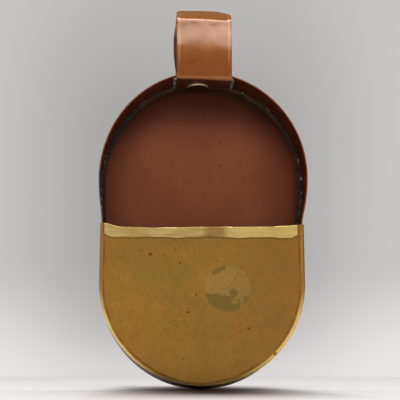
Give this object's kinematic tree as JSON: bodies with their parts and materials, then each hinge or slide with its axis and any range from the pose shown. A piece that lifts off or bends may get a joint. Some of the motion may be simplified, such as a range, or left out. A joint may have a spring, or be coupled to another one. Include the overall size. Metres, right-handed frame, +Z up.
{
  "type": "wall pocket",
  "caption": "Hand-made oval copper wall pocket with a hemmed brass apron and a broad riveted copper strap loop for hanging",
  "frame": {"origin": "Centre of the flat back, half way across and half way up the tray", "axes": "+X to the right seen from the front, +Y out of the flat back towards the wall it hangs on, +Z up towards the strap loop; the brass apron faces -Y"},
  "size_m": [0.1488, 0.0288, 0.2752],
  "materials": {
    "copper_plate": "satin",
    "copper_wall": "satin",
    "copper_strap": "satin",
    "brass_sheet": "satin",
    "solder": "matte"
  },
  "bodies": {
    "root": {"back_plate": "copper_plate", "side_band": "copper_wall", "lap_solder": "solder", "plate_solder": "solder", "front_apron": "brass_sheet", "apron_solder": "solder", "hanging_strap": "copper_strap", "strap_rivet": "copper_strap", "strap_solder_left": "solder", "strap_solder_right": "solder"}
  },
  "joints": []
}
